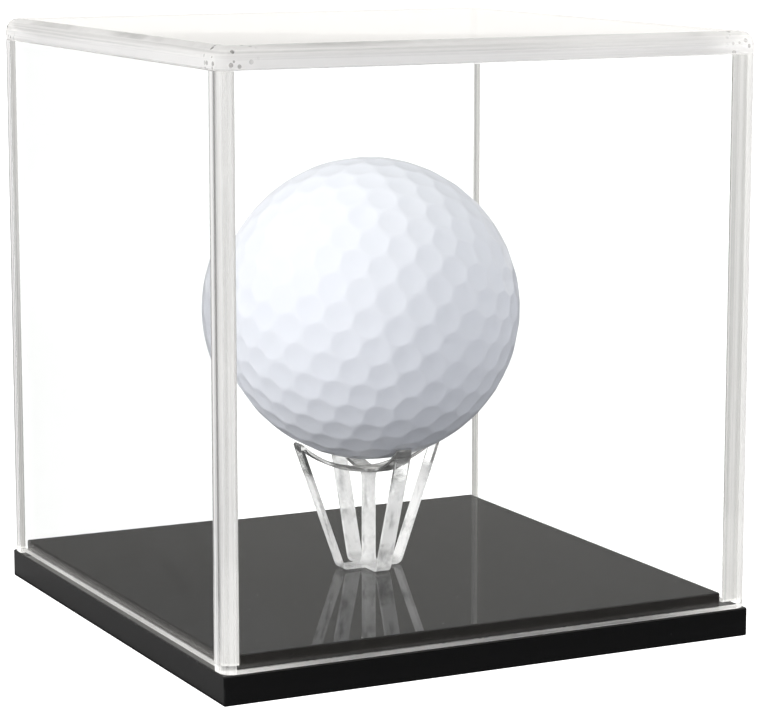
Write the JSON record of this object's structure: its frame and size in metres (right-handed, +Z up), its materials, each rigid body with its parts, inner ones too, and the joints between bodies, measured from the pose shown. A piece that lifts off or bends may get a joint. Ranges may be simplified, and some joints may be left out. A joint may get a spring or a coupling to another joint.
{
  "type": "golf ball display case",
  "caption": "Square clear acrylic display case with a black stepped base, a clear splayed-leg tee holding a dimpled white ball, and a lift-off cover.",
  "frame": {"origin": "centre of the base's underside, where it rests on a table", "axes": "+Z up through the ball, +X to the right seen from the front, front towards -Y"},
  "size_m": [0.0786, 0.0786, 0.0832],
  "materials": {
    "black_acrylic": "polished cast acrylic sheet, mirror gloss",
    "clear_moulding": "clear moulded plastic, slightly milky edges",
    "ball_skin": "white lacquered ball skin, satin gloss",
    "clear_acrylic": "clear acrylic sheet, polished faces and softly milky bonded edges"
  },
  "bodies": {
    "base": {"base_slab": "black_acrylic", "base_plinth": "black_acrylic", "tee_foot": "clear_moulding", "tee_post": "clear_moulding", "tee_leg_right": "clear_moulding", "tee_leg_back": "clear_moulding", "tee_leg_left": "clear_moulding", "tee_leg_front": "clear_moulding", "tee_arm_right": "clear_moulding", "tee_arm_back": "clear_moulding", "tee_arm_left": "clear_moulding", "tee_arm_front": "clear_moulding"},
    "ball": {"golf_ball": "ball_skin"},
    "cover": {"cover_front": "clear_acrylic", "cover_back": "clear_acrylic", "cover_left": "clear_acrylic", "cover_right": "clear_acrylic", "cover_top": "clear_acrylic"}
  },
  "joints": [
    {"name": "cover_lift", "type": "slide", "parent": "base", "child": "cover", "axis": [0, 0, 1], "range_m": [0, 0.09]},
    {"name": "ball_lift", "type": "slide", "parent": "base", "child": "ball", "axis": [0, 0, 1], "range_m": [0, 0.014]}
  ]
}
